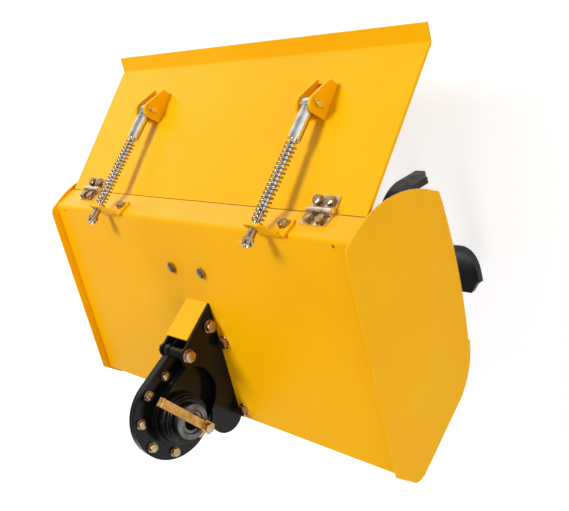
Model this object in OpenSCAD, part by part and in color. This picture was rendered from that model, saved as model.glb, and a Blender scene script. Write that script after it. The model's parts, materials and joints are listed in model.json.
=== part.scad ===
// Rotary tiller head for a walk-behind machine: sheet hood, sprung levelling flap, gear case, tine rotor.
// X runs along the rotor, +Y points to the flap and +Z is up, with the origin on the drive bore's axis.

/* [Hood] */
// Width over the side plates
hood_w = 600; // [560:1:640]
// Depth of the flat top panel, front edge to rear bend
panel_len = 262; // [255:1:270]
// Thickness of the hood and flap sheet
sheet_t = 3; // [2.5:0.1:3.5]
// Length of the rear strip, bend to hinge line
strip_len = 34.8; // [33.4:0.2:36.2]
// Slope of the rear strip below the panel
strip_tilt = 68.5; // [66:0.5:70]
// Height that the side plates stand above the panel
side_rise = 10; // [6:0.5:12]

/* [Levelling flap] */
// Width of the flap
flap_w = 585; // [560:1:588]
// Length of the flap, hinge line to lip bend
flap_len = 193; // [185:1:205]
// Slope of the flap below the panel
flap_tilt = 45; // [43:0.5:47]
// Length of the trailing lip
lip_len = 21; // [15:0.5:30]
// Distance of each hinge from the middle
hinge_x = 232; // [220:1:240]
// Width of a hinge leaf
hinge_w = 36; // [34:1:40]

/* [Spring stays] */
// Position of the right stay along the hood
stay_right_x = 170; // [160:1:180]
// Position of the left stay along the hood
stay_left_x = -154; // [-165:1:-145]
// Distance of the clevis pin from the hinge line, along the flap
pin_reach = 116.2; // [113:0.2:119]
// Height of the clevis pin over the flap
pin_rise = 17.4; // [16.4:0.2:18.4]
// Radius of the stay rod
rod_r = 3.6; // [3.2:0.1:4]
// Length of the bright sleeve, clevis pin to spring
sleeve_len = 44; // [40:1:48]
// Turns in each stay spring
spring_turns = 19; // [16:1:21]
// Wire diameter of the stay springs
spring_wire = 2; // [1.8:0.1:2.2]
// Mean radius of the stay springs
spring_r = 6.2; // [6:0.1:6.6]

/* [Gear case] */
// Height of the drive bore over the panel
hub_height = 73; // [71:1:75]
// Distance of the drive bore behind the panel's front edge
hub_setback = 34; // [32:1:36]
// Distance from the drive bore to the rotor axis
case_len = 245; // [242:1:248]
// Lean of the case from the vertical
case_lean = 28; // [27:0.5:29]
// Radius of the case's bolted flange at its round ends
flange_r = 57; // [56:0.5:58]
// Teeth on each gear
gear_teeth = 19; // [17:2:23]
// Radius of the drive bore
bore_r = 10; // [9:0.5:11]

/* [Rotor] */
// Tine rings on each side of the case
rings = 3; // [2:1:3]
// Position of the outer tine ring along the rotor
outer_ring_x = 221; // [215:1:225]
// Spacing of the tine rings
ring_pitch = 75; // [72:1:76]
// Tines in each ring
ring_tines = 4; // [3:1:4]
// Width of the tine strip
tine_w = 30; // [26:1:34]
// Thickness of the tine strip
tine_t = 8; // [6:0.5:9]
// Distance from the rotor axis to the start of the hook
hook_reach = 48; // [48:1:52]
// Middle radius of the hook
hook_r = 47; // [42:1:47]
// Angle through which the hook turns
hook_turn = 102; // [92:1:102]
// Straight length of the tip beyond the hook
tip_len = 30; // [24:1:30]

/* [Hidden] */

$fn = 48;
yellow = [0.95, 0.66, 0.02];
black = [0.06, 0.06, 0.07];
tine_black = [0.1, 0.1, 0.1];
zinc = [0.78, 0.79, 0.8];
gold = [0.78, 0.62, 0.36];
steel = [0.6, 0.61, 0.63];

// Places in the hood's side view: u runs back from the panel's front edge, v up from the panel's outer face
hub = [hub_setback, hub_height];
case_dir = [sin(case_lean), -cos(case_lean)];
case_side = [cos(case_lean), sin(case_lean)];
rotor = hub + case_len * case_dir;
side_x = hood_w / 2 - sheet_t;
slack = 0.05;

function strip_pt(y, z) = [
  panel_len + y * cos(strip_tilt) + z * sin(strip_tilt),
  -y * sin(strip_tilt) + z * cos(strip_tilt)
];
hinge_line = strip_pt(strip_len, 0);
function flap_pt(y, z) = hinge_line + [
  y * cos(flap_tilt) + z * sin(flap_tilt),
  -y * sin(flap_tilt) + z * cos(flap_tilt)
];

// Hinge
knuckle_r = 4.5;
hinge_pin_r = 2.5;
hinge_lift = knuckle_r + 0.3;
hinge_shift = hinge_lift * tan((strip_tilt - flap_tilt) / 2);
hinge_gap = 0.9;
leaf_t = 2.5;
leaf_len = 18;
hinge_bolt_dx = 9.5;
hinge_bolt_y = 11.5;

// Stay: the rod runs from the clevis pin to a tab over the rear bend
tab_t = 3;
tab_hole = strip_pt(-6.9, 12.4);
stay_pin = flap_pt(pin_reach, pin_rise);
stay_vec = tab_hole - stay_pin;
stay_len = norm(stay_vec) - tab_t / 2;
stay_tilt = atan2(-stay_vec[0], stay_vec[1]);
sleeve_r = 7.5;
eye_half = 7.5;
ear_t = 4;
bush_len = 10;
nut_z = stay_len + tab_t + 0.3 + bush_len;
nut_h = 8;
clevis_from = 105.8;
clevis_to = 148.8;
tab_bolt_dx = 25;
tab_bolt_y = 11;

// Gear case stations along X
back_x = -16;
gasket_x = -11;
flange_x = -10;
flange_face_x = -5;
cover_x = 10;
cavity_x = 6;
bulge_r = 37.2;
cavity_r = 34.4;
flange_bolt_r = 47.2;
ear_r = 8.5;
gusset_t = 4;
gusset_x = 23;
foot_drop = 7;
foot_w = 20;
bearing_r = 24;
sleeve_or = 14.5;
shaft_r = 14;
hub_left_x = -34;
hub_right_x = 26;
collar_x = 34.5;
boss_r = 32;
rotor_boss_r = 30;
rotor_boss_out = 16;

// Gear train of five equal gears
gear_gaps = 4;
gear_step = case_len / gear_gaps;
gear_pitch_r = gear_step / 2;
gear_module = gear_step / gear_teeth;
gear_x = -8.5;
gear_w = 12;
idler_r = 8;

// Bolts: thread radius, head across corners, head height
m6_r = 3;
m6_head_r = 5.77;
m6_head_h = 4;
m6_nut_h = 5;
m8_r = 4;
m8_head_r = 7.5;
m8_head_h = 5.3;
m8_nut_h = 6.5;
bolt_a = [130, 8.6];
bolt_b = [109.5, 48.5];
foot_bolts = [[37.5, 106], [37.5, 11.5], [31, 198], [-28.6, 106], [-28.6, 11.5], [-31, 198]];

// Rotor
tube_r = 19;
tube_start = 36;
tube_end = 242;
shaft_end = 256;
lug_t = 10;
lug_r = 50;
lug_w = 36;
tine_bolt_at = 36;
tine_bolt_r = 6;
ring_turn = 30;

// Lock lever across the drive hub
lever_dir = 38.2;
lever_x = 34.9;
lever_t = 9;
lever_w = 11;
lever_tail = 6.5;
lever_len = 76;
lever_screw_r = 2;

// Frames and basic shapes

module on_hood() {
  translate([0, -hub_setback, -hub_height]) children();
}

module on_strip(x, y) {
  on_hood()
    translate([x, panel_len, 0]) rotate([-strip_tilt, 0, 0]) translate([0, y, 0]) children();
}

module on_flap(x, y) {
  on_hood()
    translate([x, hinge_line[0], hinge_line[1]]) rotate([-flap_tilt, 0, 0]) translate([0, y, 0]) children();
}

// Local z runs down the rod from the clevis pin, and local y points away from the hood
module on_stay(x) {
  on_hood()
    translate([x, stay_pin[0], stay_pin[1]]) rotate([stay_tilt, 0, 0]) children();
}

// A drawing in the side view, extruded along X
module along_x(x0, x1) {
  on_hood()
    translate([x0, 0, 0]) rotate([90, 0, 90]) linear_extrude(x1 - x0) children();
}

// A round bar along X at a side-view place
module bar_x(x0, x1, at, r) {
  on_hood()
    translate([x0, at[0], at[1]]) rotate([0, 90, 0]) cylinder(h = x1 - x0, r = r);
}

module ring_x(x0, x1, at, outer, inner) {
  difference() {
    bar_x(x0, x1, at, outer);
    bar_x(x0 - 1, x1 + 1, at, inner);
  }
}

module hex_x(x0, x1, at, r) {
  on_hood()
    translate([x0, at[0], at[1]]) rotate([0, 90, 0]) cylinder(h = x1 - x0, r = r, $fn = 6);
}

// Hex bolt through the local z = 0 face, head up
module hex_bolt(r, head_r, head_h, grip) {
  washer_t = 1.4;
  cylinder(h = washer_t, r = head_r + 0.8);
  translate([0, 0, washer_t]) cylinder(h = head_h, r = head_r, $fn = 6);
  translate([0, 0, -grip]) cylinder(h = grip + washer_t, r = r);
}

module hex_nut(r, nut_r, h) {
  difference() {
    cylinder(h = h, r = nut_r, $fn = 6);
    translate([0, 0, -1]) cylinder(h = h + 2, r = r + slack);
  }
}

// Sheet hood

function polar(r, a) = r * [cos(a), sin(a)];
function arc_pts(c, r, a0, a1, n) = [for (i = [0:n]) c + polar(r, a0 + (a1 - a0) * i / n)];

side_outline = concat(
  [[4, side_rise], [247, side_rise]],
  arc_pts([250, -4], 14, 80, 40, 3),
  arc_pts([167, -67], 117.5, 33, -24, 10),
  [[265, -133]],
  arc_pts([172, 520], 660, -82.9, -96.8, 6),
  arc_pts([101, -54], 84, -97, -152, 8),
  [[-17, -28]],
  arc_pts([-6, -20], 12.5, 214, 150, 4)
);

module side_plate(x0) {
  along_x(x0, x0 + sheet_t) polygon(side_outline);
}

// Sheet folded by an angle at a virtual outer corner, with an inside radius of the sheet's thickness
module folded_sheet(before, after, angle) {
  outer = 2 * sheet_t;
  setback = outer * tan(angle / 2);
  centre = [before - setback, -outer];
  end = [before, 0] + polar(after, -angle);
  polygon(concat(
    [[0, -sheet_t], [0, 0]],
    arc_pts(centre, outer, 90, 90 - angle, 10),
    [end, end + polar(sheet_t, -angle - 90)],
    arc_pts(centre, sheet_t, 90 - angle, 90, 10)
  ));
}

module hood_panel() {
  corner_hole_r = 2.5;
  slot_end = 150;
  color(yellow) difference() {
    along_x(-side_x, side_x) folded_sheet(panel_len, strip_len - hinge_gap, strip_tilt);
    on_hood() translate([back_x - gusset_t - 0.2, -1, -sheet_t - 1])
      cube([gusset_x - back_x + 2 * gusset_t + 0.4, slot_end + 1, sheet_t + 2]);
    on_hood() for (p = foot_bolts)
      translate([p[0], p[1], -sheet_t - 1]) cylinder(h = sheet_t + 2, r = m8_r + 0.3);
    on_hood() for (side = [-1, 1])
      translate([side * 273, panel_len - 6, -sheet_t - 1]) cylinder(h = sheet_t + 2, r = corner_hole_r);
    for (side = [-1, 1], dx = [-hinge_bolt_dx, hinge_bolt_dx])
      on_strip(side * hinge_x + dx, strip_len - hinge_bolt_y - hinge_shift) strip_hole();
    for (x = [stay_left_x, stay_right_x]) on_strip(x + tab_bolt_dx, tab_bolt_y) strip_hole();
  }
}

module strip_hole() {
  translate([0, 0, -sheet_t - 1]) cylinder(h = sheet_t + 2, r = m6_r + 0.3);
}

module side_plate_left() color(yellow) side_plate(-hood_w / 2);

module side_plate_right() color(yellow) side_plate(side_x);

// Bracket that ties the gear case to the hood

wedge_foot = [157, 0];
wedge_end = [127, 43];
wedge_dir = (wedge_end - wedge_foot) / norm(wedge_end - wedge_foot);
wedge_in = [-wedge_dir[1], wedge_dir[0]];

module drive_bracket() {
  flange_depth = 26;
  color(yellow) {
    along_x(back_x - gusset_t, gusset_x) polygon([
      wedge_foot, wedge_end, wedge_end + sheet_t * wedge_in, [wedge_foot[0] - sheet_t / wedge_dir[1], 0]
    ]);
    difference() {
      along_x(gusset_x - sheet_t, gusset_x)
        polygon([wedge_foot, wedge_end, wedge_end + flange_depth * wedge_in, [112, 0]]);
      bar_x(gusset_x - sheet_t - 1, gusset_x + 1, bolt_a, m8_r + 0.3);
    }
  }
}

module gusset_outline() {
  lobe = [13, 20];
  difference() {
    union() {
      polygon([wedge_foot, [118.5, 50.3], [104, 57], [20, 43], [-5, 4], [2, 0]]);
      translate(bolt_b) circle(r = 10);
      translate(lobe) circle(r = 24);
      translate([2, -foot_drop]) square([147, foot_drop + 1]);
    }
    translate([60, 60]) circle(r = 37);
    translate(hub) circle(r = boss_r + 3);
    translate([-60, -50]) square([62, 46.5]);
    translate([0, -foot_drop - 40]) square([40, 40]);
  }
}

// Room for the wedge plate where it lies over a gusset
module wedge_room(x0, x1) {
  inner_foot = wedge_foot - 6 * wedge_dir + sheet_t * wedge_in;
  inner_end = wedge_end + sheet_t * wedge_in;
  along_x(x0, x1) polygon([inner_foot, inner_end, inner_end - 30 * wedge_in, inner_foot - 30 * wedge_in]);
}

module gusset(x0, foot_x) {
  foot_len = 210;
  color(black) difference() {
    union() {
      along_x(x0, x0 + gusset_t) gusset_outline();
      on_hood() translate([foot_x, 2, -foot_drop])
        cube([foot_w + gusset_t, foot_len, foot_drop - sheet_t]);
    }
    bar_x(x0 - 1, x0 + gusset_t + 1, bolt_a, m8_r + 0.3);
    bar_x(x0 - 1, x0 + gusset_t + 1, bolt_b, m8_r + 0.3);
    on_hood() for (p = foot_bolts)
      translate([p[0], p[1], -foot_drop - 1]) cylinder(h = foot_drop, r = m8_r + 0.3);
  }
}

module gusset_left() {
  difference() {
    gusset(back_x - gusset_t, back_x - gusset_t - foot_w);
    wedge_room(back_x - gusset_t - 1, back_x + 1);
  }
}

module gusset_right() gusset(gusset_x, gusset_x);

module panel_bolts() {
  color(gold) on_hood() for (p = foot_bolts)
    translate([p[0], p[1], 0]) hex_bolt(m8_r, m8_head_r, m8_head_h, 16);
}

module panel_nuts() {
  color(gold) on_hood() for (p = foot_bolts)
    translate([p[0], p[1], -foot_drop - m8_nut_h]) hex_nut(m8_r, m8_head_r, m8_nut_h);
}

module gusset_bolts() {
  head_x = gusset_x + gusset_t;
  washer_t = 1.4;
  color(gold) for (at = [bolt_a, bolt_b]) {
    bar_x(head_x, head_x + washer_t, at, m8_head_r + 0.8);
    hex_x(head_x + washer_t, head_x + washer_t + m8_head_h, at, m8_head_r);
    bar_x(back_x - gusset_t - 10, head_x + washer_t, at, m8_r);
  }
}

module gusset_nuts() {
  nut_x = back_x - gusset_t;
  color(gold) for (at = [bolt_a, bolt_b]) difference() {
    hex_x(nut_x - m8_nut_h, nut_x, at, m8_head_r);
    bar_x(nut_x - m8_nut_h - 1, nut_x + 1, at, m8_r + slack);
  }
}

module gusset_spacers() {
  color(black) {
    ring_x(flange_face_x, gusset_x - sheet_t, bolt_a, 7.5, m8_r + 0.2);
    ring_x(flange_face_x, gusset_x, bolt_b, 7.5, m8_r + 0.2);
  }
}

// Gear case

function case_pt(along, side) = hub + along * case_dir + side * case_side;

module case_outline(r) {
  polygon(concat(
    arc_pts(hub, r, case_lean, case_lean + 180, 28),
    arc_pts(rotor, r, case_lean + 180, case_lean + 360, 28)
  ));
}

// Flange bolts: round the drive end, round the rotor end and along the straight edges
flange_bolt_pts = concat(
  [for (a = [32:43.3:165]) hub + polar(flange_bolt_r, a)],
  [case_pt(27.5, 43.7), case_pt(3, -flange_bolt_r)],
  [for (t = [150, 195]) case_pt(t, flange_bolt_r)],
  [for (t = [105, 150, 195]) case_pt(t, -flange_bolt_r)],
  [for (a = [-150:40:10]) rotor + polar(flange_bolt_r, a)]
);

module flange_holes(x0, x1) {
  for (p = flange_bolt_pts) bar_x(x0, x1, p, m6_r + 0.15);
  for (p = [bolt_a, bolt_b]) bar_x(x0, x1, p, m8_r + 0.15);
}

// The flange with an ear round each tie bolt
module flange_plate(x0, x1) {
  along_x(x0, x1) case_outline(flange_r);
  for (p = [bolt_a, bolt_b]) bar_x(x0, x1, p, ear_r);
}

module case_back_plate() {
  color(black) difference() {
    flange_plate(back_x, gasket_x);
    flange_holes(back_x - 1, gasket_x + 1);
    bar_x(back_x - 1, 0, hub, bearing_r);
    bar_x(back_x - 1, 0, rotor, bearing_r);
    for (i = [1:gear_gaps - 1]) bar_x(back_x - 1, 0, case_pt(i * gear_step, 0), idler_r + slack);
  }
}

module case_gasket() {
  color([0.2, 0.22, 0.2]) difference() {
    flange_plate(gasket_x, flange_x);
    along_x(gasket_x - 1, flange_x + 1) case_outline(cavity_r);
    flange_holes(gasket_x - 1, flange_x + 1);
  }
}

module case_cover() {
  shoulder = 4;
  color(black) difference() {
    union() {
      flange_plate(flange_x, flange_face_x);
      along_x(flange_face_x, cover_x - shoulder) case_outline(bulge_r);
      along_x(cover_x - shoulder, cover_x) case_outline(bulge_r - 1.5);
    }
    along_x(flange_x - 1, cavity_x) case_outline(cavity_r);
    flange_holes(flange_x - 1, flange_face_x + 1);
    bar_x(0, cover_x + 1, hub, bearing_r);
    bar_x(0, cover_x + 1, rotor, bearing_r);
  }
}

module case_bolts() {
  color(gold) for (p = flange_bolt_pts) {
    bar_x(flange_face_x, flange_face_x + 1.4, p, m6_head_r + 0.5);
    hex_x(flange_face_x + 1.4, flange_face_x + 1.4 + m6_head_h, p, m6_head_r);
    bar_x(back_x, flange_face_x + 1, p, m6_r);
  }
}

// Bearing housings on both faces of the case, each with a lip that keeps its seal in
housing_lip = 3;

module input_housings() {
  nose_x = 18;
  color(black) {
    difference() {
      union() {
        bar_x(cover_x, nose_x, hub, boss_r);
        bar_x(nose_x - 1, hub_right_x - housing_lip, hub, boss_r - 2.5);
        bar_x(nose_x, hub_right_x, hub, boss_r - 5);
      }
      bar_x(cover_x - 1, hub_right_x - housing_lip, hub, bearing_r);
      bar_x(cover_x - 1, hub_right_x + 1, hub, sleeve_or + 1);
    }
    difference() {
      bar_x(hub_left_x, back_x, hub, boss_r);
      bar_x(hub_left_x + housing_lip, 0, hub, bearing_r);
      bar_x(hub_left_x - 1, 0, hub, sleeve_or + 1);
    }
  }
}

module rotor_housings() {
  left_x = back_x - rotor_boss_out;
  right_x = cover_x + rotor_boss_out;
  color(black) {
    difference() {
      bar_x(left_x, back_x, rotor, rotor_boss_r);
      bar_x(left_x + housing_lip, 0, rotor, bearing_r);
      bar_x(left_x - 1, 0, rotor, shaft_r + 1);
    }
    difference() {
      bar_x(cover_x, right_x, rotor, rotor_boss_r);
      bar_x(0, right_x - housing_lip, rotor, bearing_r);
      bar_x(0, right_x + 1, rotor, shaft_r + 1);
    }
  }
}

module hub_collar() {
  color(zinc) difference() {
    ring_x(hub_right_x, collar_x, hub, 21.5, sleeve_or + 0.5);
    bar_x(hub_right_x - 1, collar_x + 1, lever_pivot, lever_screw_r + slack);
  }
}

// A ball bearing drawn as an outer ring, an inner ring and the cage of balls between them
module bearing(x0, at, bore) {
  width = 11;
  gap = (bearing_r - bore) / 3;
  color(steel) {
    ring_x(x0, x0 + width, at, bearing_r - slack, bearing_r - gap);
    ring_x(x0 + 1, x0 + width - 1, at, bearing_r - gap, bore + gap);
    ring_x(x0, x0 + width, at, bore + gap, bore + slack);
  }
}

module input_bearings() {
  bearing(hub_left_x + 6.5, hub, sleeve_or);
  bearing(hub_right_x - 17.5, hub, sleeve_or);
}

module rotor_bearings() {
  bearing(back_x - rotor_boss_out + 6.5, rotor, shaft_r);
  bearing(cover_x + rotor_boss_out - 17.5, rotor, shaft_r);
}

module oil_seals() {
  seal_t = 3;
  color([0.1, 0.1, 0.1]) {
    ring_x(hub_left_x + 3.2, hub_left_x + 3.2 + seal_t, hub, bearing_r - slack, sleeve_or + slack);
    ring_x(hub_right_x - 3.2 - seal_t, hub_right_x - 3.2, hub, bearing_r - slack, sleeve_or + slack);
    ring_x(back_x - rotor_boss_out + 3.2, back_x - rotor_boss_out + 3.2 + seal_t, rotor,
      bearing_r - slack, shaft_r + slack);
    ring_x(cover_x + rotor_boss_out - 3.2 - seal_t, cover_x + rotor_boss_out - 3.2, rotor,
      bearing_r - slack, shaft_r + slack);
  }
}

module idler_pins() {
  color(steel) for (i = [1:gear_gaps - 1])
    bar_x(back_x, cavity_x, case_pt(i * gear_step, 0), idler_r);
}

// Involute gear: each flank follows the base circle's involute from root to tip
pressure = 20;
backlash = 0.35;
base_r = gear_pitch_r * cos(pressure);
tip_r = gear_pitch_r + 0.85 * gear_module;
root_r = gear_pitch_r - 1.15 * gear_module;
function involute(r) =
  let (a = r > base_r ? acos(base_r / r) : 0) tan(a) * 180 / PI - a;
half_tooth = 90 / gear_teeth - backlash / 4 / gear_pitch_r * 180 / PI;
function flank_angle(r) = half_tooth + involute(gear_pitch_r) - involute(r);
flank_rs = [root_r, base_r, (base_r + gear_pitch_r) / 2, gear_pitch_r, (gear_pitch_r + tip_r) / 2, tip_r];
function tooth_pts(mid) = concat(
  [for (r = flank_rs) polar(r, mid - flank_angle(r))],
  [for (i = [len(flank_rs) - 1:-1:0]) polar(flank_rs[i], mid + flank_angle(flank_rs[i]))]
);
gear_pts = [for (k = [0:gear_teeth - 1]) each tooth_pts(k * 360 / gear_teeth)];

module gear(index, bore) {
  along = case_pt(index * gear_step, 0);
  color(steel) difference() {
    along_x(gear_x, gear_x + gear_w) translate(along) rotate(case_lean - 90) polygon(gear_pts);
    bar_x(gear_x - 1, gear_x + gear_w + 1, along, bore);
  }
}

module input_gear() gear(0, sleeve_or + 0.02);

module idler_gear_1() gear(1, idler_r + slack);

module idler_gear_2() gear(2, idler_r + slack);

module idler_gear_3() gear(3, idler_r + slack);

module output_gear() gear(gear_gaps, shaft_r + 0.02);

module input_sleeve() {
  color(steel) ring_x(hub_left_x - 2, collar_x - 1, hub, sleeve_or, bore_r);
}

// Lock lever
lever_pivot = hub - [11.5, 12.2];

module lock_lever() {
  block = 14;
  color(gold) difference() {
    union() {
      along_x(lever_x, lever_x + lever_t) translate(lever_pivot) rotate(lever_dir)
        translate([0, -lever_w / 2]) square([lever_len, lever_w]);
      along_x(lever_x, lever_x + lever_t + 2) translate(lever_pivot) rotate(lever_dir)
        translate([-lever_tail, -block / 2]) square([block, block]);
    }
    bar_x(lever_x - 1, lever_x + lever_t + 3, lever_pivot, lever_screw_r + slack);
  }
}

module lever_screw() {
  head_x = lever_x + lever_t + 2.3;
  color(gold) {
    bar_x(hub_right_x + 1, head_x + 1, lever_pivot, lever_screw_r);
    hex_x(head_x, head_x + 4, lever_pivot, 6);
  }
}

// Rotor

ring_xs = [for (i = [0:rings - 1]) outer_ring_x - i * ring_pitch];

module on_rotor() {
  on_hood() translate([0, rotor[0], rotor[1]]) children();
}

// Copies at each tine of one side: local x lies along the rotor and local z points out along the root,
// with the hook turning to local +y
module at_tines(side) {
  for (i = [0:rings - 1], k = [0:ring_tines - 1])
    on_rotor() translate([side * ring_xs[i], 0, 0])
      rotate([104 + k * 360 / ring_tines + i * ring_turn, 0, 0]) children();
}

// Side view of a tine: a straight root, the hook and a straight tip, as one outline
module tine_profile() {
  steps = 16;
  middle = [hook_r, hook_reach];
  forward = [sin(hook_turn), cos(hook_turn)];
  function at_hook(r, a) = middle + r * [-cos(a), sin(a)];
  outside = [for (i = [0:steps]) at_hook(hook_r + tine_t / 2, i * hook_turn / steps)];
  inside = [for (i = [steps:-1:0]) at_hook(hook_r - tine_t / 2, i * hook_turn / steps)];
  polygon(concat(
    [[-tine_t / 2, tube_r + 1]],
    outside,
    [outside[steps] + tip_len * forward, inside[0] + tip_len * forward],
    inside,
    [[tine_t / 2, tube_r + 1]]
  ));
}

// A tine of one side, with its tip cut back on the corner that points away from the case
module tine(side) {
  tip = [hook_r, hook_reach] + hook_r * [-cos(hook_turn), sin(hook_turn)]
    + tip_len * [sin(hook_turn), cos(hook_turn)];
  difference() {
    translate([-tine_w / 2, 0, 0]) rotate([90, 0, 90]) linear_extrude(tine_w) tine_profile();
    translate([0, 0, tine_bolt_at]) rotate([90, 0, 0])
      cylinder(h = 4 * tine_t, r = tine_bolt_r + 0.2, center = true);
    translate([side * tine_w / 2, tip[0], tip[1]]) rotate([-hook_turn, 0, 0])
      rotate([0, side * 52, 0]) cube([25, 4 * tine_t, 25], center = true);
  }
}

module tines(side) {
  color(tine_black) at_tines(side) tine(side);
}

module tines_left() tines(-1);

module tines_right() tines(1);

module rotor_tube(side) {
  x0 = side > 0 ? tube_start : -tube_end;
  color(black) difference() {
    union() {
      bar_x(x0, x0 + tube_end - tube_start, rotor, tube_r);
      at_tines(side) translate([-lug_w / 2, -tine_t / 2 - lug_t, shaft_r + 2])
        cube([lug_w, lug_t, lug_r - shaft_r - 2]);
    }
    bar_x(x0 - 1, x0 + tube_end - tube_start + 1, rotor, shaft_r + 0.02);
    at_tines(side) translate([0, 0, tine_bolt_at]) rotate([90, 0, 0])
      cylinder(h = 4 * lug_t, r = tine_bolt_r + 0.2);
  }
}

module rotor_tube_left() rotor_tube(-1);

module rotor_tube_right() rotor_tube(1);

module tine_bolts(side) {
  head_r = 10.2;
  color(gold) at_tines(side) translate([0, 0, tine_bolt_at]) {
    translate([0, tine_t / 2, 0]) rotate([-90, 0, 0]) cylinder(h = 7.5, r = head_r, $fn = 6);
    translate([0, tine_t / 2 + 1, 0]) rotate([90, 0, 0]) cylinder(h = tine_t + lug_t + 5, r = tine_bolt_r);
    translate([0, -tine_t / 2 - lug_t, 0]) rotate([90, 0, 0]) cylinder(h = 8, r = head_r, $fn = 6);
  }
}

module tine_bolts_left() tine_bolts(-1);

module tine_bolts_right() tine_bolts(1);

module rotor_shaft() {
  color(steel) bar_x(-shaft_end, shaft_end, rotor, shaft_r);
}

module rotor_nuts() {
  nut_r = 24;
  color(gold) for (side = [-1, 1]) difference() {
    hex_x(side > 0 ? tube_end : -tube_end - 11, side > 0 ? tube_end + 11 : -tube_end, rotor, nut_r);
    bar_x(-shaft_end, shaft_end, rotor, shaft_r + 0.02);
  }
}

// Hinges

// Half of a butt hinge lying on a sheet at local z = 0, with its knuckle at local y = 0
module hinge_leaf(spans) {
  difference() {
    union() {
      translate([-hinge_w / 2, knuckle_r + 0.3, 0]) cube([hinge_w, leaf_len - knuckle_r, leaf_t]);
      for (s = spans) {
        translate([s[0], 0, hinge_lift]) rotate([0, 90, 0]) cylinder(h = s[1] - s[0], r = knuckle_r);
        translate([s[0], 0, 0.3]) cube([s[1] - s[0], knuckle_r + 1, leaf_t - 0.3]);
      }
    }
    translate([-hinge_w, 0, hinge_lift]) rotate([0, 90, 0])
      cylinder(h = 2 * hinge_w, r = hinge_pin_r + slack);
    for (dx = [-hinge_bolt_dx, hinge_bolt_dx])
      translate([dx, hinge_bolt_y, -1]) cylinder(h = leaf_t + 2, r = m6_r + 0.3);
  }
}

knuckle_third = hinge_w / 3;
outer_spans = [[-hinge_w / 2, -knuckle_third / 2 - 0.2], [knuckle_third / 2 + 0.2, hinge_w / 2]];
inner_span = [[-knuckle_third / 2 + 0.2, knuckle_third / 2 - 0.2]];

module hinge_leaf_hood(side) {
  color(gold) on_strip(side * hinge_x, strip_len - hinge_shift) mirror([0, 1, 0]) hinge_leaf(outer_spans);
}

module hinge_leaf_flap(side) {
  color(gold) on_flap(side * hinge_x, hinge_shift) hinge_leaf(inner_span);
}

module hinge_leaf_hood_left() hinge_leaf_hood(-1);

module hinge_leaf_hood_right() hinge_leaf_hood(1);

module hinge_leaf_flap_left() hinge_leaf_flap(-1);

module hinge_leaf_flap_right() hinge_leaf_flap(1);

module hinge_pins() {
  half = hinge_w / 2 + 1.5;
  color(zinc) for (side = [-1, 1]) on_flap(side * hinge_x, hinge_shift) translate([-half, 0, hinge_lift])
    rotate([0, 90, 0]) {
      cylinder(h = 2 * half, r = hinge_pin_r);
      cylinder(h = 1.4, r = hinge_pin_r + 1.2);
    }
}

// Through bolt with a nut behind the sheet
module sheet_bolt(stack) {
  hex_bolt(m6_r, m6_head_r, m6_head_h, stack + 7);
  translate([0, 0, -stack - m6_nut_h]) hex_nut(m6_r - slack, m6_head_r, m6_nut_h);
}

module hinge_bolts_hood() {
  color(gold) for (side = [-1, 1], dx = [-hinge_bolt_dx, hinge_bolt_dx])
    on_strip(side * hinge_x + dx, strip_len - hinge_shift - hinge_bolt_y)
      translate([0, 0, leaf_t]) sheet_bolt(leaf_t + sheet_t);
}

module hinge_bolts_flap() {
  color(gold) for (side = [-1, 1], dx = [-hinge_bolt_dx, hinge_bolt_dx])
    on_flap(side * hinge_x + dx, hinge_shift + hinge_bolt_y)
      translate([0, 0, leaf_t]) sheet_bolt(leaf_t + sheet_t);
}

// Levelling flap

module levelling_flap() {
  color(yellow) difference() {
    on_flap(-flap_w / 2, 0) rotate([90, 0, 90]) linear_extrude(flap_w)
      translate([hinge_gap, -sheet_t]) mirror([0, 1, 0])
        folded_sheet(flap_len - hinge_gap, lip_len, flap_tilt);
    for (side = [-1, 1], dx = [-hinge_bolt_dx, hinge_bolt_dx])
      on_flap(side * hinge_x + dx, hinge_shift + hinge_bolt_y) strip_hole();
  }
}

// Spring stays

module stay_tab(x) {
  slot_half = 2.5;
  slot_r = rod_r + 0.5;
  corner_r = 9;
  color(yellow) difference() {
    union() {
      on_strip(x, 0) linear_extrude(tab_t)
        polygon(concat([[6, 21], [6, -3.5], [36, -3.5]], arc_pts([27, 12], corner_r, 0, 90, 8)));
      on_stay(x) translate([0, 0, stay_len]) linear_extrude(tab_t)
        polygon([[-10, -13], [28, -13], [28, -6], [18, 10], [-7, 10], [-10, 7]]);
    }
    on_stay(x) for (dy = [-slot_half, slot_half])
      translate([0, dy, stay_len - 1]) cylinder(h = tab_t + 2, r = slot_r);
    on_stay(x) translate([-slot_r, -slot_half, stay_len - 1]) cube([2 * slot_r, 2 * slot_half, tab_t + 2]);
    on_strip(x + tab_bolt_dx, tab_bolt_y) translate([0, 0, -1]) cylinder(h = tab_t + 2, r = m6_r + 0.3);
  }
}

module stay_tab_left() stay_tab(stay_left_x);

module stay_tab_right() stay_tab(stay_right_x);

module stay_tab_bolts() {
  color(gold) for (x = [stay_left_x, stay_right_x]) on_strip(x + tab_bolt_dx, tab_bolt_y)
    translate([0, 0, tab_t]) sheet_bolt(tab_t + sheet_t);
}

module ear_profile() {
  polygon(concat(
    [[clevis_from, 0], [clevis_to, 0], [clevis_to, 13]],
    arc_pts([pin_reach, pin_rise], 11, 55, 190, 14)
  ));
}

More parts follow.
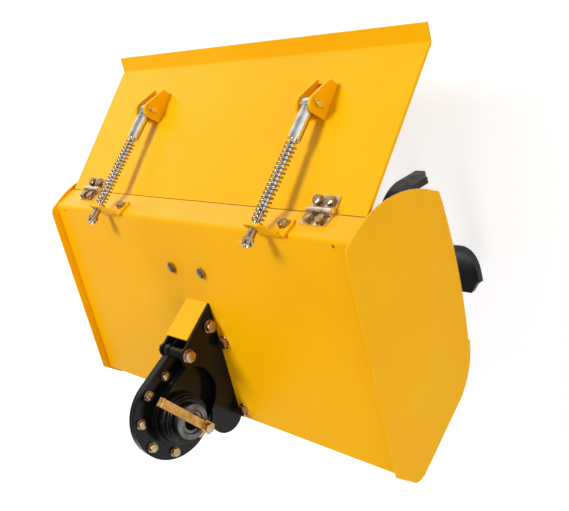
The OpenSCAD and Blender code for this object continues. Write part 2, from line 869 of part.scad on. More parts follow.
module clevis(x) {
  inner = eye_half + 1;
  color(yellow) difference() {
    union() {
      on_flap(x, 0) translate([-inner - 1, clevis_from, 0])
        cube([2 * (inner + 1), clevis_to - clevis_from, ear_t]);
      on_flap(x, 0) translate([-inner - 1, clevis_to - ear_t, 0]) cube([2 * (inner + 1), ear_t, 11]);
      for (side = [-1, 1])
        on_flap(x + (side > 0 ? inner : -inner - ear_t), 0)
          rotate([90, 0, 90]) linear_extrude(ear_t) ear_profile();
    }
    on_stay(x) translate([-inner - ear_t - 1, 0, 0]) rotate([0, 90, 0])
      cylinder(h = 2 * (inner + ear_t + 1), r = rod_r + slack);
  }
}

module clevis_left() clevis(stay_left_x);

module clevis_right() clevis(stay_right_x);

module clevis_pins() {
  half = eye_half + 1 + ear_t;
  color(zinc) for (x = [stay_left_x, stay_right_x]) on_stay(x) {
    translate([-half - 3, 0, 0]) rotate([0, 90, 0]) cylinder(h = 2 * half + 8, r = rod_r);
    translate([-half - 3, 0, 0]) rotate([0, 90, 0]) cylinder(h = 2.8, r = 6.5);
    translate([half + 2.5, -8, 0]) rotate([-90, 0, 0]) cylinder(h = 16, r = 1.2);
  }
}

module stay_sleeve(x) {
  color(zinc) on_stay(x) difference() {
    union() {
      cylinder(h = sleeve_len, r = sleeve_r);
      translate([-eye_half, 0, 0]) rotate([0, 90, 0]) cylinder(h = 2 * eye_half, r = 8);
    }
    translate([-20, 0, 0]) rotate([0, 90, 0]) cylinder(h = 40, r = rod_r + slack);
    translate([0, 0, 20]) cylinder(h = sleeve_len, r = rod_r + 0.02);
  }
}

module stay_sleeve_left() stay_sleeve(stay_left_x);

module stay_sleeve_right() stay_sleeve(stay_right_x);

// Rod with the split pin through its end
module stay_rod(x) {
  rod_foot = 20;
  rod_end = nut_z + nut_h + 3;
  color(zinc) on_stay(x) {
    translate([0, 0, rod_foot]) cylinder(h = rod_end - rod_foot, r = rod_r);
    translate([-11, 0, rod_end - 5]) rotate([0, 90, 0]) cylinder(h = 22, r = 1.1);
  }
}

module stay_rod_left() stay_rod(stay_left_x);

module stay_rod_right() stay_rod(stay_right_x);

// Stop bush under a castle nut on the end of the rod
module stay_nut(x) {
  slot_w = 2.6;
  slot_h = 4;
  color(gold) on_stay(x) difference() {
    union() {
      translate([0, 0, nut_z - bush_len]) cylinder(h = bush_len, r = rod_r + 1.3);
      translate([0, 0, nut_z]) cylinder(h = nut_h, r = 6.4, $fn = 6);
    }
    translate([0, 0, nut_z - bush_len - 1]) cylinder(h = bush_len + nut_h + 2, r = rod_r + 0.02);
    translate([0, 0, nut_z + nut_h - slot_h])
      for (a = [0:60:120]) rotate(a) translate([-10, -slot_w / 2, 0]) cube([20, slot_w, slot_h + 1]);
  }
}

module stay_nut_left() stay_nut(stay_left_x);

module stay_nut_right() stay_nut(stay_right_x);

// Stay spring: the wire's path is a helix unrolled on its cylinder as [arc length, height],
// with a quarter bend at each end that turns it square to its seat
curl_rings = 8;
tube_sides = 6;
end_run = spring_wire;
bend_r = spring_wire;
helix_z0 = sleeve_len + 0.2 + end_run + bend_r;
helix_z1 = stay_len - 0.2 - end_run - bend_r;
helix_steps = spring_turns * curl_rings;
helix_len = 2 * PI * spring_r * spring_turns;
wire_path = concat(
  [[-bend_r, helix_z0 - bend_r - end_run]],
  [for (a = [0:30:60]) [-bend_r * sin(90 - a), helix_z0 - bend_r * (1 - sin(a))]],
  [for (i = [0:helix_steps]) [helix_len, helix_z1 - helix_z0] * i / helix_steps + [0, helix_z0]],
  [for (a = [30:30:90]) [helix_len + bend_r * sin(a), helix_z1 + bend_r * (1 - cos(a))]],
  [[helix_len + bend_r, helix_z1 + bend_r + end_run]]
);
function on_cylinder(p) =
  let (a = p[0] / spring_r * 180 / PI) [spring_r * cos(a), spring_r * sin(a), p[1]];
wire_pts = [for (p = wire_path) on_cylinder(p)];
wire_last = len(wire_pts) - 1;
function unit(v) = v / norm(v);
function wire_dir(i) = unit(
  i == 0 || i == wire_last ? [0, 0, 1] : wire_pts[i + 1] - wire_pts[i - 1]
);
function wire_ring(i) =
  let (a = wire_path[i][0] / spring_r * 180 / PI,
    t = wire_dir(i),
    out0 = [cos(a), sin(a), 0],
    out = unit(out0 - (out0 * t) * t),
    over = cross(t, out))
  [for (k = [0:tube_sides - 1])
    wire_pts[i] + spring_wire / 2 * (cos(k * 360 / tube_sides) * out + sin(k * 360 / tube_sides) * over)];
spring_pts = [for (i = [0:wire_last]) each wire_ring(i)];
function ring_id(i, k) = i * tube_sides + k % tube_sides;
spring_faces = concat(
  [for (k = [1:tube_sides - 2]) [0, k + 1, k]],
  [for (k = [1:tube_sides - 2]) [ring_id(wire_last, 0), ring_id(wire_last, k), ring_id(wire_last, k + 1)]],
  [for (i = [0:wire_last - 1], k = [0:tube_sides - 1]) each [
    [ring_id(i, k), ring_id(i, k + 1), ring_id(i + 1, k + 1)],
    [ring_id(i, k), ring_id(i + 1, k + 1), ring_id(i + 1, k)]
  ]]
);
near_pairs = [
  for (i = [0:wire_last], j = [i + curl_rings - 2:i + curl_rings + 2]) if (j <= wire_last) [i, j]
];
spring_gap = min([for (p = near_pairs) norm(wire_pts[p[0]] - wire_pts[p[1]])]) - spring_wire;
echo(spring_least_gap_mm = spring_gap);

module stay_spring(x) {
  color(zinc) on_stay(x) polyhedron(spring_pts, spring_faces);
}

module stay_spring_left() stay_spring(stay_left_x);

module stay_spring_right() stay_spring(stay_right_x);

hood_panel();
side_plate_left();
side_plate_right();
drive_bracket();
gusset_left();
gusset_right();
panel_bolts();
panel_nuts();
gusset_bolts();
gusset_nuts();
gusset_spacers();
case_back_plate();
case_gasket();
case_cover();
case_bolts();
input_housings();
rotor_housings();
hub_collar();
input_bearings();
rotor_bearings();
oil_seals();
idler_pins();
input_sleeve();
input_gear();
idler_gear_1();
idler_gear_2();
idler_gear_3();
output_gear();
lock_lever();
lever_screw();
rotor_shaft();
rotor_tube_left();
rotor_tube_right();
tines_left();
tines_right();
tine_bolts_left();
tine_bolts_right();
rotor_nuts();
hinge_leaf_hood_left();
hinge_leaf_hood_right();
hinge_pins();
hinge_bolts_hood();
stay_tab_left();
stay_tab_right();
stay_tab_bolts();
levelling_flap();
hinge_leaf_flap_left();
hinge_leaf_flap_right();
hinge_bolts_flap();
clevis_left();
clevis_right();
clevis_pins();
stay_sleeve_left();
stay_rod_left();
stay_spring_left();
stay_nut_left();
stay_sleeve_right();
stay_rod_right();
stay_spring_right();
stay_nut_right();
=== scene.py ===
import json
import math

import bmesh
import bpy
from mathutils import Matrix, Vector

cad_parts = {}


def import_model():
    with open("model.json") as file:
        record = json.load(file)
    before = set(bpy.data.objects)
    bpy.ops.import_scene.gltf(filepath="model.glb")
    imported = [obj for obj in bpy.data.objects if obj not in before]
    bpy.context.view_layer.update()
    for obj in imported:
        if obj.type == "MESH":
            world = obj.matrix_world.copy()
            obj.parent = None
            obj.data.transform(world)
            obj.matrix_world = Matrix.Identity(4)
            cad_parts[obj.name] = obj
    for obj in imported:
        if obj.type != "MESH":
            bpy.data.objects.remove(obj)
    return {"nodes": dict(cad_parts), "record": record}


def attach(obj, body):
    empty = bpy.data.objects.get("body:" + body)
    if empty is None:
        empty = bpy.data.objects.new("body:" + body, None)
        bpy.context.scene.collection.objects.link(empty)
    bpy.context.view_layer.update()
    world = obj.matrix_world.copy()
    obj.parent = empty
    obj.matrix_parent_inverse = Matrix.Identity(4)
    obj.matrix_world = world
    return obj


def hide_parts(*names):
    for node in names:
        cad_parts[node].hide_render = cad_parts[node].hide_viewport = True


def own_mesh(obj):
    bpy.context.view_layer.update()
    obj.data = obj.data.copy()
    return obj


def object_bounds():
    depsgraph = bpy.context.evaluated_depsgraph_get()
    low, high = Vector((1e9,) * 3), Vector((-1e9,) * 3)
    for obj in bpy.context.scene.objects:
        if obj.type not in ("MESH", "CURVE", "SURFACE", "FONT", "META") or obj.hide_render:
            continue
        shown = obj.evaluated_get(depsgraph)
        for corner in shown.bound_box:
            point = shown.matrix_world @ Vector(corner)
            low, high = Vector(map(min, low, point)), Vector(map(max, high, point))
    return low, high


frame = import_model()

cad_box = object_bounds()
nodes = frame["nodes"]
scene = bpy.context.scene
MM = 0.001

# Sizes repeated from the part's source, in millimetres and degrees
PANEL_LEN = 262
STRIP_LEN = 34.8
STRIP_TILT = 68.5
FLAP_TILT = 45
HUB = (34, 73)
CASE_LEAN = 28
CASE_LEN = 245
FLANGE_R = 47.2
HINGE_X = 232
HINGE_LIFT = 4.8
HINGE_SHIFT = HINGE_LIFT * math.tan(math.radians((STRIP_TILT - FLAP_TILT) / 2))
HINGE_BOLT = (9.5, 11.5)
LEAF_T = 2.5
STAYS = {"left": -154, "right": 170}
STAY_SLEEVE_LEN = 44
STAY_ROD_R = 3.6
STAY_ROD_FOOT = 20
STAY_BUSH_LEN = 10
STAY_NUT_H = 8
CLEVIS_PIN = (116.2, 17.4)
TAB_T = 3
TAB_EYE = (-6.9, 12.4)
TAB_BOLT = (25, 11)
SPRING_R = 6.2
SPRING_WIRE = 2
SPRING_TURNS = 19


# Materials

class Look:
    """A material and short ways to add nodes to it."""

    def __init__(self, name):
        self.mat = bpy.data.materials.new(name)
        self.mat.use_nodes = True
        self.tree = self.mat.node_tree
        self.shader = self.tree.nodes["Principled BSDF"]
        self.coords = self.add("TexCoord").outputs["Object"]

    def add(self, kind, **values):
        """A new node, with its input values given by name."""
        node = self.tree.nodes.new("ShaderNode" + kind)
        for name, value in values.items():
            node.inputs[name.replace("_", " ")].default_value = value
        return node

    def set(self, **values):
        for name, value in values.items():
            socket = self.shader.inputs[name.replace("_", " ")]
            socket.default_value = (*value, 1) if isinstance(value, tuple) else value

    def link(self, a, b):
        self.tree.links.new(a, b)

    def stretched(self, x, y, z):
        node = self.add("Mapping", Scale=(x, y, z))
        self.link(self.coords, node.inputs["Vector"])
        return node.outputs["Vector"]

    def noise(self, scale, detail=2.0, rough=0.5, coords=None):
        node = self.add("TexNoise", Scale=scale, Detail=detail, Roughness=rough)
        self.link(coords or self.coords, node.inputs["Vector"])
        return node.outputs["Fac"]

    def ramp(self, fac, stops):
        node = self.add("ValToRGB")
        points = node.color_ramp.elements
        while len(points) < len(stops):
            points.new(0.5)
        for point, (at, colour) in zip(points, stops):
            point.position = at
            point.color = (*colour, 1)
        self.link(fac, node.inputs["Fac"])
        return node.outputs["Color"]

    def span(self, fac, low, high, start=0.3, end=0.7, smooth=False):
        node = self.add("MapRange", From_Min=start, From_Max=end, To_Min=low, To_Max=high)
        if smooth:
            node.interpolation_type = "SMOOTHSTEP"
        self.link(fac, node.inputs["Value"])
        return node.outputs["Result"]

    def mix(self, fac, a, b):
        node = self.add("Mix")
        node.data_type = "RGBA"
        self.link(fac, node.inputs["Factor"])
        self.link(a, node.inputs["A"])
        self.link(b, node.inputs["B"])
        return node.outputs["Result"]

    def larger(self, a, b):
        node = self.add("Math")
        node.operation = "MAXIMUM"
        self.link(a, node.inputs[0])
        self.link(b, node.inputs[1])
        return node.outputs[0]

    def bumps(self, *layers):
        before = None
        for height, distance in layers:
            node = self.add("Bump", Strength=1, Distance=distance)
            self.link(height, node.inputs["Height"])
            if before:
                self.link(before, node.inputs["Normal"])
            before = node.outputs["Normal"]
        self.link(before, self.shader.inputs["Normal"])

    def colour(self, socket):
        self.link(socket, self.shader.inputs["Base Color"])

    def rough(self, socket):
        self.link(socket, self.shader.inputs["Roughness"])


def enamel(name, deep, mid, light, low, high, coat, peel, sheen, ior):
    """Sprayed paint with faint clouds, a fine grain and a little orange peel."""
    look = Look(name)
    look.set(Metallic=0.0, Coat_Weight=coat, Coat_Roughness=0.08, IOR=ior, Specular_Tint=sheen)
    broad = look.noise(5.5, 3, 0.55)
    fine = look.noise(260, 2, 0.6)
    tone = look.ramp(broad, [(0.25, deep), (0.5, mid), (0.78, light)])
    grain = look.ramp(fine, [(0.3, deep), (0.62, mid)])
    look.colour(look.mix(look.span(look.noise(70, 2), 0.0, 0.09), tone, grain))
    look.rough(look.span(look.noise(24, 1), low, high))
    look.bumps((look.noise(7, 1), 0.0012), (look.noise(170, 1), peel))
    return look.mat


def plated(name, stops, low, high, scratch):
    """Plated or bare metal with blotches and fine scratches."""
    look = Look(name)
    look.set(Metallic=1.0)
    look.colour(look.ramp(look.noise(95, 3, 0.6), stops))
    streaks = look.noise(1, 3, 0.7, look.stretched(900, 260, 260))
    look.rough(look.span(look.noise(150, 3, 0.6), low, high))
    look.bumps((streaks, scratch), (look.noise(1300, 1), 0.00002))
    return look.mat


def forged(name):
    """Thin black paint over the scale of a forging."""
    look = Look(name)
    look.set(Metallic=0.0, IOR=1.38)
    stops = [(0.3, (0.004, 0.004, 0.0035)), (0.55, (0.008, 0.0075, 0.006)), (0.75, (0.016, 0.0145, 0.011))]
    look.colour(look.ramp(look.noise(42, 4, 0.7), stops))
    look.rough(look.span(look.noise(110, 3, 0.6), 0.38, 0.62))
    look.bumps((look.noise(26, 4, 0.6), 0.0007), (look.noise(420, 2), 0.00012))
    return look.mat


def rubbery(name):
    look = Look(name)
    look.set(Metallic=0.0, IOR=1.45)
    look.colour(look.ramp(look.noise(180, 2), [(0.3, (0.01, 0.01, 0.01)), (0.7, (0.026, 0.026, 0.025))]))
    look.rough(look.span(look.noise(240, 2), 0.55, 0.75))
    look.bumps((look.noise(900, 2), 0.00006))
    return look.mat


yellow = enamel(
    "yellow_enamel", (0.9, 0.415, 0.0006), (0.94, 0.452, 0.0008), (0.96, 0.478, 0.0012),
    low=0.315, high=0.34, coat=0.0, peel=0.00003, sheen=(1, 0.7, 0.08), ior=1.43)
black = enamel(
    "black_enamel", (0.0025, 0.0022, 0.002), (0.0042, 0.0037, 0.0034), (0.0075, 0.0067, 0.006),
    low=0.17, high=0.21, coat=0.03, peel=0.00004, sheen=(1, 1, 1), ior=1.29)
zinc = plated(
    "bright_zinc", [(0.3, (0.5, 0.49, 0.47)), (0.5, (0.66, 0.65, 0.63)), (0.7, (0.78, 0.77, 0.74))],
    low=0.14, high=0.3, scratch=0.00004)
spring_zinc = plated(
    "spring_zinc", [(0.3, (0.31, 0.28, 0.24)), (0.5, (0.46, 0.42, 0.37)), (0.7, (0.6, 0.56, 0.5))],
    low=0.18, high=0.34, scratch=0.00003)
gold = plated(
    "yellow_zinc", [(0.28, (0.27, 0.18, 0.09)), (0.5, (0.4, 0.285, 0.16)), (0.72, (0.52, 0.4, 0.27))],
    low=0.18, high=0.34, scratch=0.00003)
hinge_gold = plated(
    "hinge_zinc", [(0.28, (0.6, 0.46, 0.31)), (0.5, (0.78, 0.64, 0.48)), (0.72, (0.86, 0.73, 0.62))],
    low=0.16, high=0.3, scratch=0.00004)
dull_zinc = plated(
    "dull_zinc", [(0.3, (0.06, 0.055, 0.05)), (0.5, (0.11, 0.105, 0.1)), (0.7, (0.17, 0.165, 0.155))],
    low=0.26, high=0.44, scratch=0.00008)
lever_gold = plated(
    "lever_zinc", [(0.3, (0.33, 0.17, 0.04)), (0.5, (0.48, 0.26, 0.07)), (0.72, (0.58, 0.37, 0.16))],
    low=0.24, high=0.4, scratch=0.00003)
steel = plated(
    "machined_steel", [(0.3, (0.36, 0.36, 0.37)), (0.5, (0.48, 0.48, 0.49)), (0.7, (0.58, 0.58, 0.58))],
    low=0.22, high=0.4, scratch=0.00006)

FINISH = {
    "yellow_paint": yellow,
    "black_paint": black,
    "tine_steel": forged("tine_paint"),
    "bright_zinc": zinc,
    "yellow_zinc": gold,
    "bare_steel": steel,
    "seal_rubber": rubbery("seal_rubber"),
}
OWN_FINISH = {"hub_collar": dull_zinc, "input_sleeve": dull_zinc, "lock_lever": lever_gold}
OWN_FINISH.update({name: hinge_gold for name in nodes if name.startswith("hinge_leaf")})
slot_of = {p["node"]: p["material_slot"] for p in frame["record"]["subparts"]}


def paint(obj, material):
    obj.data.materials.clear()
    obj.data.materials.append(material)


for name, obj in nodes.items():
    paint(obj, OWN_FINISH.get(name, FINISH[slot_of[name]]))


# Rolled and deburred edges on the solids that stay in view, by their width in millimetres

EDGES = {
    0.3: "stay_nut_left stay_nut_right lever_screw",
    0.35: "hinge_leaf_hood_left hinge_leaf_hood_right hinge_leaf_flap_left hinge_leaf_flap_right",
    0.4: "hood_panel levelling_flap gusset_spacers hinge_pins clevis_pins panel_nuts",
    0.5: "stay_sleeve_left stay_sleeve_right gusset_nuts tine_bolts_left tine_bolts_right",
    0.6: "drive_bracket clevis_left clevis_right stay_tab_left stay_tab_right input_sleeve",
    0.7: "side_plate_left side_plate_right gusset_left gusset_right",
    0.8: "input_housings hub_collar rotor_tube_left rotor_tube_right rotor_nuts rotor_shaft rotor_housings",
    0.9: "lock_lever tines_left tines_right",
    1.2: "case_back_plate case_cover",
}
# A film on the two sheets closes the sight line through the hinge gap
FILMED = ("hood_panel", "levelling_flap")
FILM = 0.5
WELD_REACH = 0.000005
FLAT_ANGLE = 0.4
EDGE_ANGLE = 38


def break_edges(obj, width, film):
    """Joins the solid's triangles into flat faces, then bevels the edges between them."""
    weld = obj.modifiers.new("weld", "WELD")
    weld.merge_threshold = WELD_REACH
    flat = obj.modifiers.new("flat", "DECIMATE")
    flat.decimate_type = "DISSOLVE"
    flat.angle_limit = math.radians(FLAT_ANGLE)
    if film:
        layer = obj.modifiers.new("film", "DISPLACE")
        layer.strength = film * MM
        layer.mid_level = 0
    bevel = obj.modifiers.new("edge", "BEVEL")
    bevel.width = width * MM
    bevel.segments = 2
    bevel.limit_method = "ANGLE"
    bevel.angle_limit = math.radians(EDGE_ANGLE)
    bevel.use_clamp_overlap = True
    bevel.harden_normals = True
    even = obj.modifiers.new("even", "WEIGHTED_NORMAL")
    even.mode = "FACE_AREA"
    even.weight = 100
    even.keep_sharp = True


for width, names in EDGES.items():
    for name in names.split():
        break_edges(nodes[name], width, FILM if name in FILMED else 0)


# Places

def place(x=0.0, y=0.0, z=0.0, tilt=0.0):
    return Matrix.Translation((x, y, z)) @ Matrix.Rotation(math.radians(tilt), 4, "X")


HOOD = place(0, -HUB[0], -HUB[1])


def on_strip(x, y, z=0.0):
    return HOOD @ place(x, PANEL_LEN, 0, -STRIP_TILT) @ place(0, y, z)


HINGE_LINE = on_strip(0, STRIP_LEN).to_translation()


def on_flap(x, y, z=0.0):
    return place(x, HINGE_LINE.y, HINGE_LINE.z, -FLAP_TILT) @ place(0, y, z)


STAY_PIN = on_flap(0, *CLEVIS_PIN).to_translation()
TAB_HOLE = on_strip(0, *TAB_EYE).to_translation()
STAY_DIR = (TAB_HOLE - STAY_PIN).normalized()
STAY_LEN = (TAB_HOLE - STAY_PIN).length - TAB_T / 2
STAY_TILT = math.degrees(math.atan2(-STAY_DIR.y, STAY_DIR.z))


def on_stay(x, z=0.0):
    return place(x, STAY_PIN.y, STAY_PIN.z, STAY_TILT) @ place(0, 0, z)


def on_side(x, u, v):
    """Local z along +X at a place in the hood's side view."""
    return HOOD @ Matrix.Translation((x, u, v)) @ Matrix.Rotation(math.radians(90), 4, "Y")


def on_case(along, side):
    """A place in the hood's side view, from the hub down the leaning case and across it."""
    lean = math.radians(CASE_LEAN)
    return (HUB[0] + along * math.sin(lean) + side * math.cos(lean),
        HUB[1] - along * math.cos(lean) + side * math.sin(lean))


def around(at, angles):
    turns = [math.radians(a) for a in angles]
    return [(at[0] + FLANGE_R * math.cos(a), at[1] + FLANGE_R * math.sin(a)) for a in turns]


# Shapes

def circle(r, z, sides, turn=0.0):
    angles = [2 * math.pi * k / sides + turn for k in range(sides)]
    return [(r * math.cos(a), r * math.sin(a), z) for a in angles]


class Piece:
    """Gathers points in millimetres and makes one mesh object of them."""

    def __init__(self, name, body, material, slot, *stands_for):
        self.name, self.body, self.material, self.slot = name, body, material, slot
        self.stands_for = stands_for
        self.points, self.faces = [], []

    def grid(self, rings, place_at, caps=True):
        """A skin over a row of closed rings of equal count."""
        base = len(self.points)
        size = len(rings[0])
        for ring in rings:
            self.points += [tuple((place_at @ Vector(p)) * MM) for p in ring]
        for i in range(len(rings) - 1):
            for k in range(size):
                a, b = base + i * size + k, base + i * size + (k + 1) % size
                self.faces.append((a, b, b + size, a + size))
        if caps:
            last = base + (len(rings) - 1) * size
            self.faces.append(tuple(base + k for k in reversed(range(size))))
            self.faces.append(tuple(last + k for k in range(size)))

    def ring(self, outer, inner, z0, z1, place_at, edge=0.25, sides=32):
        """A washer or sleeve with broken edges and an open bore."""
        profile = [
            (inner, z0), (outer - edge, z0), (outer, z0 + edge), (outer, z1 - edge), (outer - edge, z1),
            (inner, z1), (inner, z0)]
        self.grid([circle(r, z, sides) for r, z in profile], place_at, caps=False)

    def hexagon(self, flat, z0, z1, place_at, both=False, bore=0.0, turn=0.0):
        """A hex head or nut with the turned chamfer that curves each flat's corners."""
        steps = 48
        crown = flat * 0.955
        chamfer = 0.55

        def ring(top):
            points = []
            for k in range(steps):
                a = 2 * math.pi * k / steps
                off = (a + math.pi / 6) % (math.pi / 3) - math.pi / 6
                r = flat / math.cos(off)
                drop = max(0.0, r - crown) * chamfer
                z = z1 - drop if top else z0 + (drop if both else 0)
                points.append((r * math.cos(a + turn), r * math.sin(a + turn), z))
            return points

        rings = [circle(crown, z0, steps, turn)] if both else []
        rings += [ring(False), ring(True), circle(crown, z1, steps, turn)]
        if bore:
            low, high = circle(bore, z0, steps, turn), circle(bore, z1, steps, turn)
            rings = [low] + rings + [high, low]
        self.grid(rings, place_at, caps=not bore)

    def bolt(self, place_at, flat, head, shank, grip, washer=1.4, nut_at=None, nut=0.0, turn=0.0):
        """A hex bolt with its head on local z = 0 and, where nut_at is given, a nut that far below."""
        if washer:
            self.ring(flat * 1.27, shank, 0, washer, place_at)
        self.hexagon(flat, washer, washer + head, place_at, turn=turn)
        if nut_at is not None:
            self.hexagon(flat, -nut_at - nut, -nut_at, place_at, both=True, bore=shank, turn=turn + 0.3)
        self.thread(shank, -grip, washer, place_at, 8 - grip)

    def thread(self, r, z0, z1, place_at, until, pitch=1.25):
        """A row of thread crests from z0 that becomes a plain shank before z = until."""
        lead = 0.7
        profile = [(r - 0.8, z0), (r - 0.1, z0 + lead)]
        z = z0 + lead
        while z + pitch < until:
            profile += [(r - 0.6, z + pitch * 0.5), (r - 0.02, z + pitch)]
            z += pitch
        profile += [(r, z + 0.2), (r, z1)]
        self.grid([circle(r, z, 24) for r, z in profile], place_at)

    def sweep(self, path, radius, place_at, sides, ups=None):
        """A round wire along a list of points, turned by the ups where they are given."""
        pts = [Vector(p) for p in path]
        rings = []
        up = None
        for i, p in enumerate(pts):
            t = (pts[min(i + 1, len(pts) - 1)] - pts[max(i - 1, 0)]).normalized()
            ref = Vector(ups[i]) if ups else (up or t.orthogonal())
            up = (ref - ref.dot(t) * t).normalized()
            over = t.cross(up)
            rings.append([tuple(p + x * up + y * over) for x, y, _ in circle(radius, 0, sides)])
        self.grid(rings, place_at)

    def done(self, sharp=32):
        """Makes the object. Edges that fold by more than the sharp angle stay crisp."""
        mesh = bpy.data.meshes.new(self.name)
        mesh.from_pydata(self.points, [], self.faces)
        work = bmesh.new()
        work.from_mesh(mesh)
        bmesh.ops.recalc_face_normals(work, faces=work.faces)
        for face in work.faces:
            face.smooth = True
        for edge in work.edges:
            if len(edge.link_faces) == 2:
                edge.smooth = edge.calc_face_angle(0) < math.radians(sharp)
        work.to_mesh(mesh)
        work.free()
        obj = bpy.data.objects.new(self.name, mesh)
        scene.collection.objects.link(obj)
        paint(obj, self.material)
        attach(obj, self.body)
        if self.stands_for:
            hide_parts(*self.stands_for)
        return obj


# Fasteners

M8 = dict(flat=6.5, head=5.3, shank=4)
M8_LOW = dict(flat=6.2, head=4.2, shank=4, washer=0)
M6 = dict(flat=5, head=4, shank=3)
M6_NUT = 5


def bolts(node, body, *rows):
    """All bolts of a node. A row is their places, the turn from head to head, and their sizes."""
    piece = Piece(f"{node}_fine", body, gold, "yellow_zinc", node)
    for places, turn, sizes in rows:
        for k, place_at in enumerate(places):
            piece.bolt(place_at, turn=turn * k, **sizes)
    piece.done()


FOOT_BOLTS = [(37.5, 106), (37.5, 11.5), (-28.6, 106), (-28.6, 11.5)]
LOOSE_BOLTS = [(31, 198), (-31, 198)]
bolts("panel_bolts", "hood",
    ([HOOD @ place(x, u) for x, u in FOOT_BOLTS], 0.4, dict(M8, grip=16)),
    ([HOOD @ place(x, u) for x, u in LOOSE_BOLTS], 0.4, dict(M8_LOW, grip=16)))

hinge_xs = [side * HINGE_X + step * HINGE_BOLT[0] for side in (-1, 1) for step in (-1, 1)]
hinge_size = dict(M6, grip=12.5, nut_at=5.5, nut=M6_NUT)
hood_row = STRIP_LEN - HINGE_SHIFT - HINGE_BOLT[1]
bolts("hinge_bolts_hood", "hood", ([on_strip(x, hood_row, LEAF_T) for x in hinge_xs], 0.5, hinge_size))
flap_row = HINGE_SHIFT + HINGE_BOLT[1]
bolts("hinge_bolts_flap", "flap", ([on_flap(x, flap_row, LEAF_T) for x in hinge_xs], 0.7, hinge_size))

tab_places = [on_strip(x + TAB_BOLT[0], TAB_BOLT[1], TAB_T) for x in STAYS.values()]
bolts("stay_tab_bolts", "hood", (tab_places, 0.6, dict(M6, grip=13, nut_at=6, nut=M6_NUT)))

FLANGE_X = -5
flange = around(HUB, (32, 75.3, 118.6, 161.9)) + around(on_case(CASE_LEN, 0), (-150, -110, -70, -30, 10))
flange += [on_case(27.5, 43.7), on_case(3, -FLANGE_R)]
flange += [on_case(along, FLANGE_R) for along in (150, 195)]
flange += [on_case(along, -FLANGE_R) for along in (105, 150, 195)]
bolts("case_bolts", "hood", ([on_side(FLANGE_X, u, v) for u, v in flange], 0.45, dict(M6, grip=11)))

GUSSET_X = 27
GUSSET_BOLTS = [(130, 8.6), (109.5, 48.5)]
bolts("gusset_bolts", "hood", ([on_side(GUSSET_X, u, v) for u, v in GUSSET_BOLTS], 0.5, dict(M8, grip=57)))


# Stays

def wire_path(fine=24):
    """The spring's helix with a quarter bend at each end, as in the part's source, with finer steps."""
    end_gap = 0.2
    bend = SPRING_WIRE
    z0 = STAY_SLEEVE_LEN + end_gap + 2 * bend
    z1 = STAY_LEN - end_gap - 2 * bend
    length = 2 * math.pi * SPRING_R * SPRING_TURNS
    count = SPRING_TURNS * fine
    # The wire's path on the unrolled cylinder: distance round it, and height
    flat = [(-bend, z0 - 2 * bend)]
    for a in range(0, 90, 10):
        turn = math.radians(a)
        flat.append((-bend * math.cos(turn), z0 - bend * (1 - math.sin(turn))))
    flat += [(length * i / count, z0 + (z1 - z0) * i / count) for i in range(count + 1)]
    for a in range(10, 91, 10):
        turn = math.radians(a)
        flat.append((length + bend * math.sin(turn), z1 + bend * (1 - math.cos(turn))))
    flat += [(length + bend, z1 + 2 * bend)]
    outward = [(math.cos(s / SPRING_R), math.sin(s / SPRING_R), 0) for s, _ in flat]
    points = [(SPRING_R * x, SPRING_R * y, z) for (x, y, _), (_, z) in zip(outward, flat)]
    return points, outward


NUT_GAP = 0.3
ROD_PAST_NUT = 3
ROD_END = STAY_LEN + TAB_T + NUT_GAP + STAY_BUSH_LEN + STAY_NUT_H + ROD_PAST_NUT
THREAD_LEN = 44
PIN_LEGS = (
    [(-11.5, -2.2, 0.4), (-9, -1.2, 0), (-6, -0.45, 0), (6, -0.45, 0), (8.5, -1.1, 0.2), (10.6, -2.6, 0.6)],
    [(-11.2, 2.0, -0.6), (-9, 1.1, -0.2), (-6, 0.45, 0), (6, 0.45, 0), (8, 0.9, -0.3), (9.6, 2.2, -0.9)],
)
PIN_R = 0.55
PIN_FROM_END = 5

points, outward = wire_path()
for side, x in STAYS.items():
    node = f"stay_spring_{side}"
    piece = Piece(f"{node}_fine", f"stay_{side}", spring_zinc, "bright_zinc", node)
    piece.sweep(points, SPRING_WIRE / 2, on_stay(x), 12, outward)
    spring = piece.done(60)
    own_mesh(spring)

    node = f"stay_rod_{side}"
    piece = Piece(f"{node}_fine", f"stay_{side}", zinc, "bright_zinc", node)
    flip = on_stay(x, ROD_END) @ Matrix.Rotation(math.pi, 4, "X")
    piece.thread(STAY_ROD_R, 0, ROD_END - STAY_ROD_FOOT, flip, THREAD_LEN)
    for leg in PIN_LEGS:
        piece.sweep(leg, PIN_R, on_stay(x, ROD_END - PIN_FROM_END), 8)
    piece.done()


# Camera, floor and light

def camera():
    """The photograph's view, from the fit to the hood's edges."""
    eye = (0.9008, 0.5105, 0.4677)
    right = Vector((0.653, -0.233, -0.721))
    forward = Vector((-0.751, -0.326, -0.575)).normalized()
    right = (right - right.dot(forward) * forward).normalized()
    up = right.cross(forward)
    turn = Matrix((right, up, -forward)).transposed()
    data = bpy.data.cameras.new("photo_camera")
    data.sensor_fit = "HORIZONTAL"
    data.sensor_width = 36
    data.lens = 57.48
    data.clip_start = 0.02
    data.clip_end = 100
    obj = bpy.data.objects.new("photo_camera", data)
    scene.collection.objects.link(obj)
    obj.matrix_world = Matrix.Translation(eye) @ turn.to_4x4()
    scene.camera = obj


def lamp(name, place_at, size, watts, aim):
    data = bpy.data.lights.new(name, "AREA")
    data.shape = "DISK"
    data.size = size
    data.energy = watts
    obj = bpy.data.objects.new(name, data)
    scene.collection.objects.link(obj)
    obj.location = place_at
    obj.rotation_euler = (Vector(aim) - Vector(place_at)).to_track_quat("-Z", "Y").to_euler()


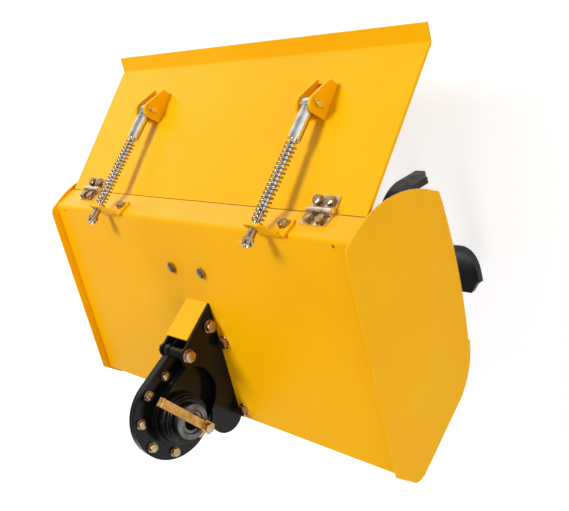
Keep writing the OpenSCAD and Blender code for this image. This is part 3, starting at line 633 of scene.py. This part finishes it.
def floor():
    """A pale floor that looks white and keeps the shadow. Its glow makes up for the lamps' fall-off."""
    half = 40
    z = cad_box[0][2] - 0.004
    mesh = bpy.data.meshes.new("floor")
    corners = [(-half, -half, z), (half, -half, z), (half, half, z), (-half, half, z)]
    mesh.from_pydata(corners, [], [(0, 1, 2, 3)])
    obj = bpy.data.objects.new("floor", mesh)
    scene.collection.objects.link(obj)
    look = Look("pale_floor")
    look.set(Base_Color=(0.6, 0.6, 0.6), Roughness=0.9)
    plain = look.shader.outputs["BSDF"]
    away = look.add("VectorMath")
    away.operation = "LENGTH"
    look.link(look.coords, away.inputs[0])
    glow = look.add("Emission")
    fill = look.span(away.outputs["Value"], 0.68, 0.97, start=0.9, end=3.2, smooth=True)
    look.link(fill, glow.inputs["Strength"])
    both = look.add("AddShader")
    look.link(plain, both.inputs[0])
    look.link(glow.outputs["Emission"], both.inputs[1])
    path = look.add("LightPath").outputs
    shiny = look.larger(path["Is Glossy Ray"], path["Is Transmission Ray"])
    seen = look.larger(path["Is Camera Ray"], shiny)
    pick = look.add("MixShader")
    look.link(seen, pick.inputs["Fac"])
    look.link(plain, pick.inputs[1])
    look.link(both.outputs[0], pick.inputs[2])
    look.link(pick.outputs[0], look.tree.nodes["Material Output"].inputs["Surface"])
    obj.data.materials.append(look.mat)


def world():
    """A white wall all round under a dim ceiling."""
    base = bpy.data.worlds.new("studio")
    base.use_nodes = True
    scene.world = base
    tree = base.node_tree
    room = tree.nodes["Background"]
    room.inputs["Color"].default_value = (1, 1, 1, 1)
    coords = tree.nodes.new("ShaderNodeTexCoord")
    parts = tree.nodes.new("ShaderNodeSeparateXYZ")
    tree.links.new(coords.outputs["Generated"], parts.inputs["Vector"])
    shade = tree.nodes.new("ShaderNodeMapRange")
    shade.interpolation_type = "SMOOTHSTEP"
    shade.inputs["From Min"].default_value = 0.14
    shade.inputs["From Max"].default_value = 0.44
    shade.inputs["To Min"].default_value = 1.0
    shade.inputs["To Max"].default_value = 0.22
    tree.links.new(parts.outputs["Z"], shade.inputs["Value"])
    tree.links.new(shade.outputs["Result"], room.inputs["Strength"])


camera()
floor()
world()
lamp("key", (-0.75, 1.75, 1.55), size=0.9, watts=48, aim=(0, 0.12, -0.1))
lamp("side", (2.3, 0.3, 0.7), size=1.4, watts=16, aim=(0, 0.1, -0.1))
lamp("front", (0.5, -1.9, 1.0), size=1.4, watts=18, aim=(0, 0.1, -0.1))
scene.view_settings.view_transform = "Standard"
